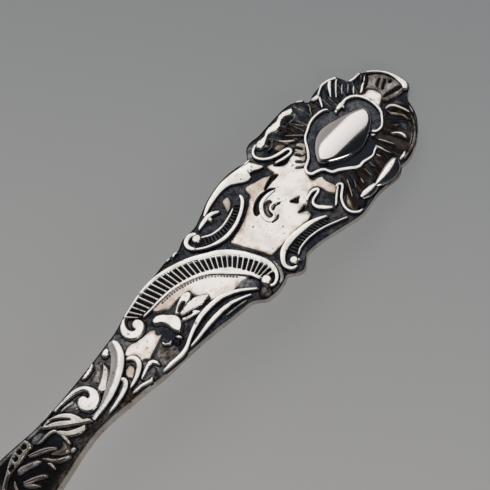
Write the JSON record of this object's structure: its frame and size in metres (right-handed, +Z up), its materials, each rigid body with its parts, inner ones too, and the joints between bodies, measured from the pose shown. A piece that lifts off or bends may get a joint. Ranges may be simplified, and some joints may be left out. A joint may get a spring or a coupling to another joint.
{
  "type": "teaspoon",
  "caption": "Silver teaspoon with an egg-shaped bowl, an arched stem and a lobed end, its face covered in scrolled relief around a heart-shaped boss, for stirring and serving.",
  "frame": {"origin": "on the table, under the middle of the spoon's length and width", "axes": "+X along the spoon towards the handle's tip, +Y to the left of the handle's face, +Z up, with the bowl's mouth upwards"},
  "size_m": [0.1488, 0.0316, 0.0144],
  "materials": {
    "polished_silver": "mirror polish with fine wear marks",
    "chased_silver": "polished relief with dark oxide in the recesses"
  },
  "bodies": {
    "root": {"bowl": "polished_silver", "stem": "chased_silver", "terminal": "chased_silver", "heart_boss": "polished_silver", "cartouche_frame": "chased_silver", "crest_shell": "chased_silver", "left_upper_ruffle": "chased_silver", "left_ear": "chased_silver", "right_upper_ruffle": "chased_silver", "right_lower_ruffle": "chased_silver", "splash_leaf": "chased_silver", "left_leaf": "chased_silver", "right_scroll": "chased_silver", "left_scroll": "chased_silver", "fluted_arch": "chased_silver", "border_ribs": "chased_silver", "flower_bud": "chased_silver", "tulip": "chased_silver", "stem_scroll": "chased_silver", "stem_volute": "chased_silver", "leaf_spray": "chased_silver", "ladder_strip": "chased_silver"}
  },
  "joints": []
}
